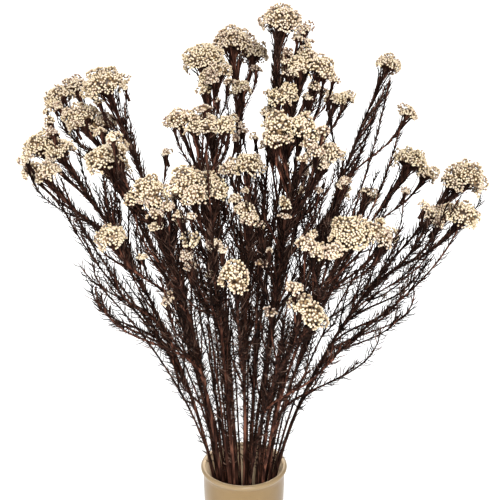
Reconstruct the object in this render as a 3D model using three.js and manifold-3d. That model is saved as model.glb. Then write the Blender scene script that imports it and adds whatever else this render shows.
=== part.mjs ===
// A bunch of dried rice flower standing in a round vase.
// Millimetres, +Z up, the vase stands on z = 0 round the Z axis and the front of the bunch looks along -Y.
import * as THREE from "three";
import { mergeVertices } from "three/addons/utils/BufferGeometryUtils.js";
import { ConvexGeometry } from "three/addons/geometries/ConvexGeometry.js";
import Module from "manifold-3d";

// Vase
const VASE_HEIGHT = 160;
const LIP_OUTER_RADIUS = 39;
const LIP_ROLL = 2.7;
const NECK_RADIUS = 36.2;
const WAIST_RADIUS = 32.6;
const FOOT_RADIUS = 31;
const FOOT_EDGE = 1.5;
const BORE_NECK_RADIUS = 32.8;
const BORE_FLOOR_RADIUS = 27;
const FLOOR_THICKNESS = 7;
const VASE_SIDES = 32;

// Stems, branches and the thin stalks under the flower heads
const CUT_END_Z = FLOOR_THICKNESS + 0.5;
const MOUTH_Z = VASE_HEIGHT - 2;
const FLOOR_SPREAD = 0.55;
const STEM_FOOT_RADIUS = 2;
const STEM_TIP_RADIUS = 1;
const BARE_BENDS = [0.13, 0.27];
const BRANCH_FOOT_RADIUS = 1.1;
const BRANCH_TIP_RADIUS = 0.8;
const SHOOT_TIP_RADIUS = 0.7;
const LOWEST_FORK_Z = 215;
const SIDES = 3;
const STALK_REACH = 0.55;
const SEAT_GAP = 0.4;
const BRANCH_CLEARANCE = 1.3;

// Needle leaves, in whorls up the stems
const LOWEST_WHORL_Z = 188;
const WHORL_STEP = 21;
const WHORL_HEIGHT = 1.4;
const NEEDLE_LENGTH = 12.5;
const NEEDLE_LEAN = 0.6;
const NEEDLE_CLEARANCE = 1.2;

// Flower heads
const DOME_TOP = 0.95;
const DOME_BOTTOM = 0.42;
const DOME_TILT = 0.0032;
const BUD_DEPTH = 0.08;
const FEWEST_BUDS = 8;
const MOST_BUDS = 18;
const GOLDEN_TURN = Math.PI * (3 - Math.sqrt(5));

// Every stem: where it leaves the vase mouth, its flower heads and its leafy shoots without flowers.
// A head is a list of domes [x, y, z, radius] that touch; the first dome of the first head ends the stem.
const STEMS = [
  {
    mouth: [-29.5, -2],
    heads: [
      [[-146, -4, 441, 15], [-162, 0, 444, 15.5], [-155, 3, 452, 9]],
      [[-150, -37, 429, 13.5], [-161, -36, 432, 10.5]],
    ],
    shoots: [[-114, -55, 346]],
  },
  {
    mouth: [-26, 11],
    heads: [
      [[-150, 84, 484, 13.5], [-163, 76, 476, 15]],
      [[-121, 49, 455, 15.5], [-136, 43, 461, 17.5]],
    ],
    shoots: [],
  },
  {
    mouth: [-23, -5],
    heads: [
      [[-109, 10, 491, 19], [-122, 17, 487, 10]],
      [[-103, -42, 441, 16], [-94, -38, 448, 10]],
    ],
    shoots: [],
  },
  {
    mouth: [-19, -19],
    heads: [
      [[-67, -75, 424, 14.5], [-76, -73, 419, 9.5], [-62, -80, 418, 9.5]],
      [[-93, -90, 393, 12.5]],
    ],
    shoots: [[-104, -84, 352]],
  },
  {
    mouth: [-10, -9],
    heads: [
      [
        [-37, -31, 463, 10],
        [-37, -25, 469, 10.5],
        [-48, -21, 468, 12.5],
        [-27, -34, 466, 12],
        [-15, -33, 465, 10.5],
      ],
    ],
    shoots: [],
  },
  {
    mouth: [-8, 8],
    heads: [[[-32, 44, 508, 20], [-22, 34, 500, 14], [-30, 30, 494, 10]]],
    shoots: [],
  },
  {
    mouth: [1, 17],
    heads: [
      [[-9, 80, 520, 20.5], [8, 86, 513, 15.5]],
      [[-3, 60, 484, 12]],
    ],
    shoots: [],
  },
  {
    mouth: [-9, -23],
    heads: [
      [
        [-28, -80, 430, 13],
        [-40, -84, 434, 12.5],
        [-43, -94, 429, 10.5],
        [-34, -99, 426, 11],
        [-19, -85, 425, 10.5],
      ],
    ],
    shoots: [],
  },
  {
    mouth: [0, -14],
    heads: [
      [[5, -45, 437, 13.5], [-9, -39, 434, 10.5]],
      [[5, -91, 408, 8], [1, -86, 413, 9]],
      [[-3, -153, 379, 8.5], [-5, -149, 385, 11]],
    ],
    shoots: [],
  },
  {
    mouth: [5, 4],
    heads: [
      [[30, 15, 539, 18.5]],
      [[34, 45, 512, 7.5]],
    ],
    shoots: [],
  },
  {
    mouth: [13, -3],
    heads: [
      [[43, -2, 506, 14.5], [60, -5, 505, 13.5], [51, 5, 513, 12]],
      [[27, -19, 484, 10.5], [34, -15, 488, 11]],
    ],
    shoots: [],
  },
  {
    mouth: [12, -17],
    heads: [
      [
        [42, -75, 470, 12.5],
        [26, -75, 470, 13.5],
        [23, -80, 463, 12],
        [50, -77, 464, 9],
        [47, -81, 458, 9],
      ],
      [[57, -55, 441, 9], [64, -50, 447, 12]],
    ],
    shoots: [],
  },
  {
    mouth: [8, 13],
    heads: [
      [[84, 105, 471, 12], [94, 109, 473, 11]],
      [[96, 132, 378, 9], [96, 137, 384, 10]],
    ],
    shoots: [],
  },
  {
    mouth: [22, 10],
    heads: [
      [[124, 70, 504, 13.5]],
      [[141, 55, 465, 10.5]],
    ],
    shoots: [[112, 30, 336]],
  },
  {
    mouth: [24.5, 17.5],
    heads: [
      [[153, 95, 414, 19], [167, 91, 405, 13]],
      [[125, 150, 371, 12]],
    ],
    shoots: [],
  },
  {
    mouth: [30, -3],
    heads: [
      [[180, 0, 418, 18.5], [168, -3, 416, 12.5]],
      [[169, -38, 396, 15], [155, -42, 399, 10], [144, -47, 400, 9.5]],
    ],
    shoots: [[124, -34, 322]],
  },
  {
    mouth: [17, -24],
    heads: [
      [[73, -115, 402, 16], [88, -108, 402, 10.5], [99, -102, 398, 9.5]],
      [[58, -140, 398, 8.5], [48, -138, 398, 8.5]],
    ],
    shoots: [[106, -64, 315]],
  },
  {
    mouth: [5.5, -27.5],
    heads: [[[46, -158, 360, 10.5], [39, -153, 366, 9.5]]],
    shoots: [[67, -90, 314]],
  },
  {
    mouth: [-21, 19.5],
    heads: [[[-130, 100, 415, 18.5], [-119, 103, 408, 14.5]]],
    shoots: [],
  },
  {
    mouth: [-8, 27],
    heads: [[[-43, 130, 390, 21.5], [-29, 134, 379, 14.5]]],
    shoots: [],
  },
  {
    mouth: [6, 26],
    heads: [[[41, 110, 437, 21.5], [26, 117, 428, 13.5]]],
    shoots: [],
  },
  {
    mouth: [17, 20.5],
    heads: [[[91, 132, 340, 20], [79, 135, 333, 15.5]]],
    shoots: [],
  },
];

const wasm = await Module();
wasm.setup();

function vectorOf([x, y, z]) {
  return new THREE.Vector3(x, y, z);
}

// The solid that a closed three.js geometry bounds.
function solidOf(geometry) {
  const bare = new THREE.BufferGeometry();
  bare.setAttribute("position", geometry.attributes.position);
  bare.setIndex(geometry.index);
  const merged = mergeVertices(bare, 1e-4);
  return new wasm.Manifold(
    new wasm.Mesh({
      numProp: 3,
      vertProperties: merged.attributes.position.array,
      triVerts: Uint32Array.from(merged.index.array),
    }),
  );
}

function meshOf(name, solid, material) {
  const body = solid.getMesh();
  const geometry = new THREE.BufferGeometry();
  geometry.setAttribute("position", new THREE.BufferAttribute(body.vertProperties, 3));
  geometry.setIndex(new THREE.BufferAttribute(body.triVerts, 1));
  geometry.computeVertexNormals();
  const mesh = new THREE.Mesh(geometry, material);
  mesh.name = name;
  return mesh;
}

// Vase: one closed profile turned round the axis, from the foot up the outside, over the rolled lip and
// down the inside to the floor.
function vaseSolid() {
  const lipCentre = LIP_OUTER_RADIUS - LIP_ROLL;
  const lipZ = VASE_HEIGHT - LIP_ROLL;
  const roll = Math.SQRT1_2 * LIP_ROLL;
  const profile = [
    [0, 0],
    [FOOT_RADIUS - FOOT_EDGE, 0],
    [FOOT_RADIUS, FOOT_EDGE],
    [WAIST_RADIUS, VASE_HEIGHT * 0.45],
    [NECK_RADIUS - 1, VASE_HEIGHT * 0.85],
    [NECK_RADIUS, lipZ - LIP_ROLL],
    [LIP_OUTER_RADIUS, lipZ - 0.6],
    [lipCentre + roll, lipZ + roll],
    [lipCentre, VASE_HEIGHT],
    [lipCentre - roll, lipZ + roll],
    [BORE_NECK_RADIUS, lipZ - LIP_ROLL],
    [BORE_FLOOR_RADIUS, FLOOR_THICKNESS],
    [0, FLOOR_THICKNESS],
  ];
  const points = profile.map(([radius, z]) => new THREE.Vector2(radius, z));
  const turned = new THREE.LatheGeometry(points, VASE_SIDES);
  turned.rotateX(Math.PI / 2);
  return solidOf(turned);
}

// A ring of corners round a rising curve, turned round it by an angle.
function ringOf(curve, along, radius, turn) {
  const centre = curve.getPoint(along);
  const tangent = curve.getTangent(along);
  const across = new THREE.Vector3(0, 1, 0).cross(tangent).normalize();
  const over = new THREE.Vector3().crossVectors(tangent, across);
  const ring = [];
  for (let k = 0; k < SIDES; k += 1) {
    const angle = turn + (k * 2 * Math.PI) / SIDES;
    const corner = centre.clone().addScaledVector(across, radius * Math.cos(angle));
    ring.push(corner.addScaledVector(over, radius * Math.sin(angle)));
  }
  return ring;
}

// A thin rod along a curve, from a flat cut end to a point. Each of its whorls is a short piece of the rod
// where the sides are drawn out to spikes: needle leaves, or the stalks under a flower head.
function rodSolid(rod) {
  const faces = [];
  let below = ringOf(rod.curve, 0, rod.foot, 0);
  let turn = 0;
  const join = (ring, spikes) => {
    for (let k = 0; k < SIDES; k += 1) {
      const next = (k + 1) % SIDES;
      const corners = [below[k], below[next], ring[k]];
      if (spikes[k]) corners.forEach((corner, c) => faces.push(corner, corners[(c + 1) % 3], spikes[k]));
      else faces.push(...corners);
      faces.push(below[next], ring[next], ring[k]);
    }
    below = ring;
  };
  faces.push(below[0], below[2], below[1]);
  rod.bends.forEach((along) => join(ringOf(rod.curve, along, radiusAt(rod, along), turn), []));
  rod.whorls.forEach((whorl) => {
    turn = whorl.turn;
    join(ringOf(rod.curve, whorl.along, radiusAt(rod, whorl.along), turn), []);
    join(ringOf(rod.curve, whorl.end, radiusAt(rod, whorl.end), turn), whorl.spikes);
  });
  const point = rod.curve.getPoint(1);
  for (let k = 0; k < SIDES; k += 1) faces.push(below[k], below[(k + 1) % SIDES], point);
  return solidOf(new THREE.BufferGeometry().setFromPoints(faces));
}

function radiusAt(rod, along) {
  return rod.foot + (rod.tip - rod.foot) * along;
}

// The way a flower head faces: up, and outwards the more the further out it stands.
function domeAxis([x, y]) {
  return new THREE.Vector3(x * DOME_TILT, y * DOME_TILT, 1).normalize();
}

// Points spread evenly over a dome with a flatter underside.
function domePoints(dome) {
  const radius = dome[3];
  const count = Math.min(MOST_BUDS, Math.max(FEWEST_BUDS, Math.round(2 + 0.68 * radius)));
  const turn = new THREE.Quaternion().setFromUnitVectors(new THREE.Vector3(0, 0, 1), domeAxis(dome));
  const points = [new THREE.Vector3(0, 0, -DOME_BOTTOM * radius)];
  for (let i = 0; i < count; i += 1) {
    const rise = 1 - ((i + 0.5) / count) * 1.4;
    const ring = Math.sqrt(1 - rise * rise) * radius;
    const angle = i * GOLDEN_TURN + dome[0];
    const height = rise * radius * (rise > 0 ? DOME_TOP : DOME_BOTTOM);
    points.push(new THREE.Vector3(ring * Math.cos(angle), ring * Math.sin(angle), height));
  }
  return points.map((point) => point.applyQuaternion(turn).add(vectorOf(dome)));
}

// Whether a point is in a dome, or nearer to it than a margin.
function isInDome(point, dome, margin) {
  const offset = point.clone().sub(vectorOf(dome));
  const axis = domeAxis(dome);
  const rise = offset.dot(axis);
  const ring = offset.addScaledVector(axis, -rise).length();
  const high = dome[3] * (rise > 0 ? DOME_TOP : DOME_BOTTOM) + margin;
  return Math.hypot(ring / (dome[3] + margin), rise / high) < 1;
}

// A dome covered with buds. Each point of the dome is the tip of a bud, and the middle of each face
// between three tips is drawn in to the gap between the buds.
function budDomeSolid(dome) {
  const hull = new ConvexGeometry(domePoints(dome));
  hull.deleteAttribute("normal");
  const { attributes, index } = mergeVertices(hull, 1e-4);
  const heart = vectorOf(dome);
  const tips = [];
  for (let i = 0; i < attributes.position.count; i += 1) {
    tips.push(new THREE.Vector3().fromBufferAttribute(attributes.position, i));
  }
  const gaps = [];
  const faceAfterEdge = new Map();
  for (let face = 0; face < index.count / 3; face += 1) {
    const corners = [0, 1, 2].map((k) => index.getX(face * 3 + k));
    const gap = new THREE.Vector3();
    corners.forEach((corner) => gap.add(tips[corner]));
    gaps.push(gap.divideScalar(3).lerp(heart, BUD_DEPTH));
    corners.forEach((corner, k) => faceAfterEdge.set(corner + "-" + corners[(k + 1) % 3], face));
  }
  const faces = [];
  faceAfterEdge.forEach((face, edge) => {
    const [from, to] = edge.split("-");
    const across = faceAfterEdge.get(to + "-" + from);
    faces.push(tips[from], gaps[across], gaps[face]);
  });
  return solidOf(new THREE.BufferGeometry().setFromPoints(faces));
}

// The place just under a dome where its stem or branch ends.
function seatOf(dome) {
  return vectorOf(dome).addScaledVector(domeAxis(dome), -DOME_BOTTOM * dome[3] - SEAT_GAP);
}

// The main stem: a curve from the floor of the vase through its place in the mouth to a flower head.
function mainCurve(mouth, end) {
  const foot = new THREE.Vector3(mouth[0] * FLOOR_SPREAD, mouth[1] * FLOOR_SPREAD, CUT_END_Z);
  const through = new THREE.Vector3(mouth[0], mouth[1], MOUTH_Z);
  const below = foot.distanceTo(through);
  const t = below / (below + through.distanceTo(end));
  const control = through.clone();
  control.addScaledVector(foot, -(1 - t) * (1 - t));
  control.addScaledVector(end, -t * t);
  control.divideScalar(2 * t * (1 - t));
  return new THREE.QuadraticBezierCurve3(foot, control, end);
}

// How far along a rising curve it reaches a height.
function alongAtHeight(curve, z) {
  let low = 0;
  let high = 1;
  for (let i = 0; i < 24; i += 1) {
    const middle = (low + high) / 2;
    if (curve.getPoint(middle).z < z) low = middle;
    else high = middle;
  }
  return low;
}

// A branch that leaves its parent along it and bends up into the place it ends in.
function branchCurve(parent, end, endWay) {
  const offset = parent.getPoint(alongAtHeight(parent, end.z)).distanceTo(end);
  const forkZ = Math.max(LOWEST_FORK_Z, end.z - 28 - 1.15 * offset);
  const along = alongAtHeight(parent, forkZ);
  const start = parent.getPoint(along);
  const reach = 0.38 * start.distanceTo(end);
  const first = start.clone().addScaledVector(parent.getTangent(along), reach);
  const second = end.clone().addScaledVector(endWay, -reach);
  return new THREE.CubicBezierCurve3(start, first, second, end);
}

// The ends of the stalks that fan out under a dome from the sides of its branch.
function stalkEnds(dome, way) {
  const axis = domeAxis(dome);
  const flat = way.clone().addScaledVector(axis, -way.dot(axis)).normalize();
  const end = vectorOf(dome).addScaledVector(flat, STALK_REACH * dome[3]);
  return end.addScaledVector(axis, -DOME_BOTTOM * dome[3] * (1 - 0.65 * STALK_REACH) - SEAT_GAP);
}

// One stem as the list of its rods: the main stem, its branches and its shoots. A branch that would have to
// pass through another dome of its head is left out, as the domes of a head hold each other.
function rodsOf(stem) {
  const topDome = stem.heads[0][0];
  const trunk = mainCurve(stem.mouth, seatOf(topDome));
  const main = { foot: STEM_FOOT_RADIUS, tip: STEM_TIP_RADIUS, bends: BARE_BENDS };
  const branch = { foot: BRANCH_FOOT_RADIUS, tip: BRANCH_TIP_RADIUS, bends: [] };
  const rods = [{ ...main, curve: trunk, dome: topDome, leafy: true }];
  stem.heads.forEach((head, h) => {
    let carrier = trunk;
    head.forEach((dome, d) => {
      if (h + d === 0) return;
      const curve = branchCurve(carrier, seatOf(dome), domeAxis(dome));
      if (d === 0) carrier = curve;
      const others = head.filter((other) => other !== dome);
      const places = curve.getPoints(20);
      if (places.some((place) => others.some((other) => isInDome(place, other, BRANCH_CLEARANCE)))) return;
      rods.push({ ...branch, curve, dome, leafy: d === 0 });
    });
  });
  stem.shoots.forEach((shoot) => {
    const curve = branchCurve(trunk, vectorOf(shoot), new THREE.Vector3(0, 0, 1));
    rods.push({ ...branch, curve, tip: SHOOT_TIP_RADIUS, leafy: true });
  });
  return rods;
}

// The straight pieces that stand in for a rod when needles are kept clear of it.
function linesOf(rod, owner) {
  const points = rod.curve.getPoints(16);
  return points.slice(1).map((point, i) => ({
    line: new THREE.Line3(points[i], point),
    radius: rod.foot,
    owner,
  }));
}

function isClear(line, owner, obstacles, domes) {
  const nearest = new THREE.Vector3();
  for (let k = 0; k <= 5; k += 1) {
    const point = line.at(k / 5, new THREE.Vector3());
    if (domes.some((dome) => isInDome(point, dome, NEEDLE_CLEARANCE))) return false;
    for (const other of obstacles) {
      if (other.owner === owner) continue;
      other.line.closestPointToPoint(point, true, nearest);
      if (nearest.distanceTo(point) < other.radius + NEEDLE_CLEARANCE) return false;
    }
  }
  return true;
}

// The way each side of a rod looks out at a place along it.
function sideWays(rod, along, turn) {
  const centre = rod.curve.getPoint(along);
  const ring = ringOf(rod.curve, along, 1, turn);
  return ring.map((corner, k) => {
    const middle = corner.clone().add(ring[(k + 1) % SIDES]).multiplyScalar(0.5);
    return middle.sub(centre).normalize();
  });
}

// Gives a rod its whorls: needles all the way up a leafy rod, and stalks under a dome. A needle that would
// come too near to another stem or a flower head is left out.
function growWhorls(rod, owner, obstacles, domes) {
  const length = rod.curve.getLength();
  const height = WHORL_HEIGHT / length;
  const stalksAlong = rod.dome ? alongAtHeight(rod.curve, rod.dome[2] - 6 - 0.75 * rod.dome[3]) : 1;
  const count = rod.leafy ? Math.floor(length / WHORL_STEP) : 0;
  rod.whorls = [];
  for (let i = 0; i < count; i += 1) {
    const along = (i + 0.7) / count;
    const start = rod.curve.getPoint(along);
    if (start.z < LOWEST_WHORL_Z || along > stalksAlong - 2 * height) continue;
    const turn = (rod.whorls.length * Math.PI) / SIDES;
    const tangent = rod.curve.getTangent(along);
    const spikes = sideWays(rod, along, turn).map((side) => {
      const way = tangent.clone().multiplyScalar(Math.cos(NEEDLE_LEAN));
      way.addScaledVector(side, Math.sin(NEEDLE_LEAN));
      const line = new THREE.Line3(start, start.clone().addScaledVector(way, NEEDLE_LENGTH));
      if (!isClear(line, owner, obstacles, domes)) return null;
      obstacles.push({ line, radius: WHORL_HEIGHT / 2, owner });
      return line.end;
    });
    rod.whorls.push({ along, end: along + height, turn, spikes });
  }
  if (!rod.dome) return;
  const turn = (rod.whorls.length * Math.PI) / SIDES;
  const others = domes.filter((dome) => dome !== rod.dome);
  const spikes = sideWays(rod, stalksAlong, turn).map((side) => {
    const end = stalkEnds(rod.dome, side);
    return others.some((other) => isInDome(end, other, BRANCH_CLEARANCE)) ? null : end;
  });
  rod.whorls.push({ along: stalksAlong, end: stalksAlong + height, turn, spikes });
}

const ceramic = new THREE.MeshStandardMaterial({ color: 0xb49c78, roughness: 0.3, metalness: 0 });
const group = new THREE.Group();
group.add(meshOf("vase", vaseSolid(), ceramic));

const allDomes = STEMS.flatMap((stem) => stem.heads.flat());
const allRods = STEMS.map(rodsOf);
const obstacles = allRods.flatMap((rods, owner) => rods.flatMap((rod) => linesOf(rod, owner)));

STEMS.forEach((stem, i) => {
  const number = String(i + 1).padStart(2, "0");
  const wood = new THREE.MeshStandardMaterial({ color: 0x4b3323, roughness: 0.9, metalness: 0 });
  allRods[i].forEach((rod) => growWhorls(rod, i, obstacles, allDomes));
  group.add(meshOf("stem_" + number, wasm.Manifold.union(allRods[i].map(rodSolid)), wood));
  stem.heads.forEach((head, h) => {
    const petals = new THREE.MeshStandardMaterial({ color: 0xe5d3ac, roughness: 0.85, metalness: 0 });
    const buds = wasm.Manifold.union(head.map(budDomeSolid));
    group.add(meshOf("head_" + number + "abc"[h], buds, petals));
  });
});

export default group;
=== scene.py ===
# The looks of a bunch of dried rice flower that stands in a round vase.
# The layout is in millimetres and repeats the values of the CAD source; Blender's objects are in metres.
import math

import bpy
import numpy as np
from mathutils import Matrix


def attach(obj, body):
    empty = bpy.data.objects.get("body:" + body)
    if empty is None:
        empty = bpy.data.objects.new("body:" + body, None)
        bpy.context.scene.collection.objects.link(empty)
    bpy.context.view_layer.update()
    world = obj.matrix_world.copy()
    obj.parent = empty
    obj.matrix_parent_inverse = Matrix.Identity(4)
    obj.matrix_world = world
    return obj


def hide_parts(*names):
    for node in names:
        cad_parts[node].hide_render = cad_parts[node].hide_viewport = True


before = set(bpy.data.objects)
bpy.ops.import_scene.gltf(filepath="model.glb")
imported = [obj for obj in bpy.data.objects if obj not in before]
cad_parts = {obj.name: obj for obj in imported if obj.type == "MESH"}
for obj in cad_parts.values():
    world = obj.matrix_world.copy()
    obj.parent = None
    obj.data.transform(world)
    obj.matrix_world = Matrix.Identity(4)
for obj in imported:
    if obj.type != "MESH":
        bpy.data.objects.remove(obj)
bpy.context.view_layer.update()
rng = np.random.default_rng(11)
MM = 0.001
UP = np.array([0.0, 0.0, 1.0])
GOLDEN_TURN = math.pi * (3 - math.sqrt(5))
BLACK = (0, 0, 0)
WHITE = (1, 1, 1)

# The bake map: its cells to a side, and the share of a cell that stays free at each edge
MAP_CELLS = 16
CELL_EDGE = 0.06

# Camera, white paper and round lights (name, place, target, size, power), in metres and watts. The lens is
# in millimetres.
CAMERA_PLACE = (0.0054, -0.636, 0.542)
CAMERA_TILT = math.radians(74)
CAMERA_LENS = 57.25
PAPER_HALF_WIDTH = 4.0
PAPER_FRONT_Y = -2.0
PAPER_BEND_Y = 2.2
PAPER_BEND_RADIUS = 0.8
PAPER_TOP_Z = 4.0
WORLD_STRENGTH = 0.40
LIGHTS = [
    ("key_light", (0.2, -1.5, 1.08), (0, 0, 0.36), 0.6, 38.5),
    ("fill_light", (-1.5, -0.9, 1.0), (0, 0, 0.35), 1.2, 11),
    ("paper_light", (0, 2.3, 2.6), (0, 1.9, 0), 2.4, 115),
]

# Vase
VASE_HEIGHT = 160
LIP_OUTER_RADIUS = 39
LIP_ROLL = 2.2
NECK_RADIUS = 36.2
WAIST_RADIUS = 32.6
FOOT_RADIUS = 31
FOOT_EDGE = 1.5
BORE_NECK_RADIUS = 32.8
BORE_FLOOR_RADIUS = 27
FLOOR_THICKNESS = 7
VASE_SIDES = 96

# Stems and branches. A branch forks a drop below its end, and lower by a share of its way out. How dark a
# stem is follows from its place in the mouth, from left to right.
CUT_END_Z = FLOOR_THICKNESS + 0.5
MOUTH_Z = VASE_HEIGHT - 2
FLOOR_SPREAD = 0.55
LOWEST_FORK_Z = 215
FORK_DROP = 28
FORK_DROP_SHARE = 1.15
BRANCH_REACH = 0.38
SEAT_GAP = 0.4
STEM_RADII = (1.85, 0.85)
BRANCH_RADII = (1.15, 0.7)
SHOOT_RADII = (1.1, 0.55)
TWIG_RADII = (0.85, 0.45)
STEM_WOBBLE = 0.7
MOUTH_PLACES = (-30, -18, 0, 10, 30)
DARKNESSES = (1.25, 0.9, 1.0, 1.5, 1.8)

# Leafy side twigs, and a leafy side stem beside each stem, of which a share have their own foot in the vase.
# Their tips stay below a height and behind the foremost flower head.
TWIG_STEP = 42
TWIG_LENGTH = (55, 115)
TWIG_LEAN = 0.17
TWIG_TAPER = 0.55
LAST_TWIG = 0.86
TWIG_CLEARANCE = 3
LOWEST_TWIG_Z = 212
HIGHEST_TWIG_Z = 400
HIGHEST_TWIG_TIP_Z = 425
FOREMOST_TIP_Y = -152
SIDE_STEM_MOUTH_RADIUS = 27
OWN_FOOT_SHARE = 0.6
SIDE_STEM_TOP_Z = (270, 400)
SIDE_STEM_SPREAD = 13
SIDE_STEM_RADII = (1.4, 0.65)
SIDE_STEM_TRIES = 12
SIDE_STEM_CLEARANCE = 6

# Needle leaves at a few heights: how many to a millimetre of stem, how long they are, and how far they
# lean out from the stem at the root and at the tip. Their tips also turn up. The parts are the shares of a
# needle before and after its bend. Rods without flowers bear a few more.
NEEDLE_HEIGHTS = (165, 235, 350, 430)
NEEDLES_PER_MM = (0.32, 0.38, 0.50, 0.68)
NEEDLE_LENGTHS = (8.0, 12.0, 12.0, 10.0)
NEEDLE_ROOT_LEANS = (1.25, 1.2, 0.85, 0.6)
NEEDLE_TIP_LEANS = (0.65, 0.6, 0.38, 0.27)
NEEDLE_UPTURN = 0.35
NEEDLE_PARTS = (0.42, 0.58)
NEEDLE_RADIUS = 0.43
TWIG_NEEDLES = 1.15

# Flower heads: one rough layer of buds on each dome. The top, underside and bottom are shares of a dome's
# radius. Bare spots are where a random number is below the least one. Lifts raise and sink the buds in waves
# of a span, and sink them by the depth at most.
DOME_TOP = 0.95
DOME_UNDERSIDE = 0.75
DOME_BOTTOM = 0.42
DOME_TILT = 0.0032
LOWEST_BUD = -0.45
RIM_RISE = -0.27
BARE_SHARE = 0.02
BARE_SPOT_SPAN = 9
BARE_SPOT_LEAST = -1.2
HEX_PACKING = 0.866
BUD_PITCH = 2.25
BUD_SCATTER = 0.3
BUD_LENGTH = 2.2
BUD_RADIUS = 0.9
BUD_STEPS = (0, 0.3, 0.78, 1)
BUD_WIDTHS = (0.95, 0.88)
DOME_LIFT = 2.1
DOME_LIFT_SPAN = 13
CLUSTER_LIFT = 0.5
CLUSTER_SPAN = 6
LIFT_DEPTH = 2.6
TUFT_AGE = (0, 0.45)

# The stalks that fan out under the buds. A share of them is long: they leave the stem lower by some of the
# dome's radii, and run up it as a leafy bundle.
STALKS_PER_RADIUS = 1.5
LONG_STALKS = 0.4
CORE_SIDES = 20
STALK_RADII = (0.68, 0.45)
STALK_NEEDLES = 0.2
BUNDLE_SHARE = 0.09
BUNDLE_LENGTH = (1.4, 3.4)

# Every stem: where it leaves the vase mouth, its flower heads and its leafy shoots without flowers.
# A head is a list of domes (x, y, z, radius); the first dome of the first head ends the stem.
STEMS = [
    {
        "mouth": (-29.5, -2),
        "heads": [
            [(-146, -4, 441, 15), (-162, 0, 444, 15.5), (-155, 3, 452, 9)],
            [(-150, -37, 429, 13.5), (-161, -36, 432, 10.5)],
        ],
        "shoots": [(-114, -55, 346)],
    },
    {
        "mouth": (-26, 11),
        "heads": [
            [(-150, 84, 484, 13.5), (-163, 76, 476, 15)],
            [(-121, 49, 455, 15.5), (-136, 43, 461, 17.5)],
        ],
        "shoots": [],
    },
    {
        "mouth": (-23, -5),
        "heads": [[(-109, 10, 491, 19), (-122, 17, 487, 10)], [(-103, -42, 441, 16), (-94, -38, 448, 10)]],
        "shoots": [],
    },
    {
        "mouth": (-19, -19),
        "heads": [
            [(-67, -75, 424, 14.5), (-76, -73, 419, 9.5), (-62, -80, 418, 9.5)],
            [(-93, -90, 393, 12.5)],
        ],
        "shoots": [(-104, -84, 352)],
    },
    {
        "mouth": (-10, -9),
        "heads": [
            [
                (-37, -31, 463, 10),
                (-37, -25, 469, 10.5),
                (-48, -21, 468, 12.5),
                (-27, -34, 466, 12),
                (-15, -33, 465, 10.5),
            ],
        ],
        "shoots": [],
    },
    {
        "mouth": (-8, 8),
        "heads": [[(-32, 44, 508, 20), (-22, 34, 500, 14), (-30, 30, 494, 10)]],
        "shoots": [],
    },
    {
        "mouth": (1, 17),
        "heads": [[(-9, 80, 520, 20.5), (8, 86, 513, 15.5)], [(-3, 60, 484, 12)]],
        "shoots": [],
    },
    {
        "mouth": (-9, -23),
        "heads": [
            [
                (-28, -80, 430, 13),
                (-40, -84, 434, 12.5),
                (-43, -94, 429, 10.5),
                (-34, -99, 426, 11),
                (-19, -85, 425, 10.5),
            ],
        ],
        "shoots": [],
    },
    {
        "mouth": (0, -14),
        "heads": [
            [(5, -45, 437, 13.5), (-9, -39, 434, 10.5)],
            [(5, -91, 408, 8), (1, -86, 413, 9)],
            [(-3, -153, 379, 8.5), (-5, -149, 385, 11)],
        ],
        "shoots": [],
    },
    {
        "mouth": (5, 4),
        "heads": [[(30, 15, 539, 18.5)], [(34, 45, 512, 7.5)]],
        "shoots": [],
    },
    {
        "mouth": (13, -3),
        "heads": [
            [(43, -2, 506, 14.5), (60, -5, 505, 13.5), (51, 5, 513, 12)],
            [(27, -19, 484, 10.5), (34, -15, 488, 11)],
        ],
        "shoots": [],
    },
    {
        "mouth": (12, -17),
        "heads": [
            [
                (42, -75, 470, 12.5),
                (26, -75, 470, 13.5),
                (23, -80, 463, 12),
                (50, -77, 464, 9),
                (47, -81, 458, 9),
            ],
            [(57, -55, 441, 9), (64, -50, 447, 12)],
        ],
        "shoots": [],
    },
    {
        "mouth": (8, 13),
        "heads": [[(84, 105, 471, 12), (94, 109, 473, 11)], [(96, 132, 378, 9), (96, 137, 384, 10)]],
        "shoots": [],
    },
    {
        "mouth": (22, 10),
        "heads": [[(124, 70, 504, 13.5)], [(141, 55, 465, 10.5)]],
        "shoots": [(112, 30, 336)],
    },
    {
        "mouth": (24.5, 17.5),
        "heads": [[(153, 95, 414, 19), (167, 91, 405, 13)], [(125, 150, 371, 12)]],
        "shoots": [],
    },
    {
        "mouth": (30, -3),
        "heads": [
            [(180, 0, 418, 18.5), (168, -3, 416, 12.5)],
            [(169, -38, 396, 15), (155, -42, 399, 10), (144, -47, 400, 9.5)],
        ],
        "shoots": [(124, -34, 322)],
    },
    {
        "mouth": (17, -24),
        "heads": [
            [(73, -115, 402, 16), (88, -108, 402, 10.5), (99, -102, 398, 9.5)],
            [(58, -140, 398, 8.5), (48, -138, 398, 8.5)],
        ],
        "shoots": [(106, -64, 315)],
    },
    {
        "mouth": (5.5, -27.5),
        "heads": [[(46, -158, 360, 10.5), (39, -153, 366, 9.5)]],
        "shoots": [(67, -90, 314)],
    },
    {
        "mouth": (-21, 19.5),
        "heads": [[(-130, 100, 415, 18.5), (-119, 103, 408, 14.5)]],
        "shoots": [],
    },
    {
        "mouth": (-8, 27),
        "heads": [[(-43, 130, 390, 21.5), (-29, 134, 379, 14.5)]],
        "shoots": [],
    },
    {
        "mouth": (6, 26),
        "heads": [[(41, 110, 437, 21.5), (26, 117, 428, 13.5)]],
        "shoots": [],
    },
    {
        "mouth": (17, 20.5),
        "heads": [[(91, 132, 340, 20), (79, 135, 333, 15.5)]],
        "shoots": [],
    },
]
ALL_DOMES = [dome for stem in STEMS for head in stem["heads"] for dome in head]

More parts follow.
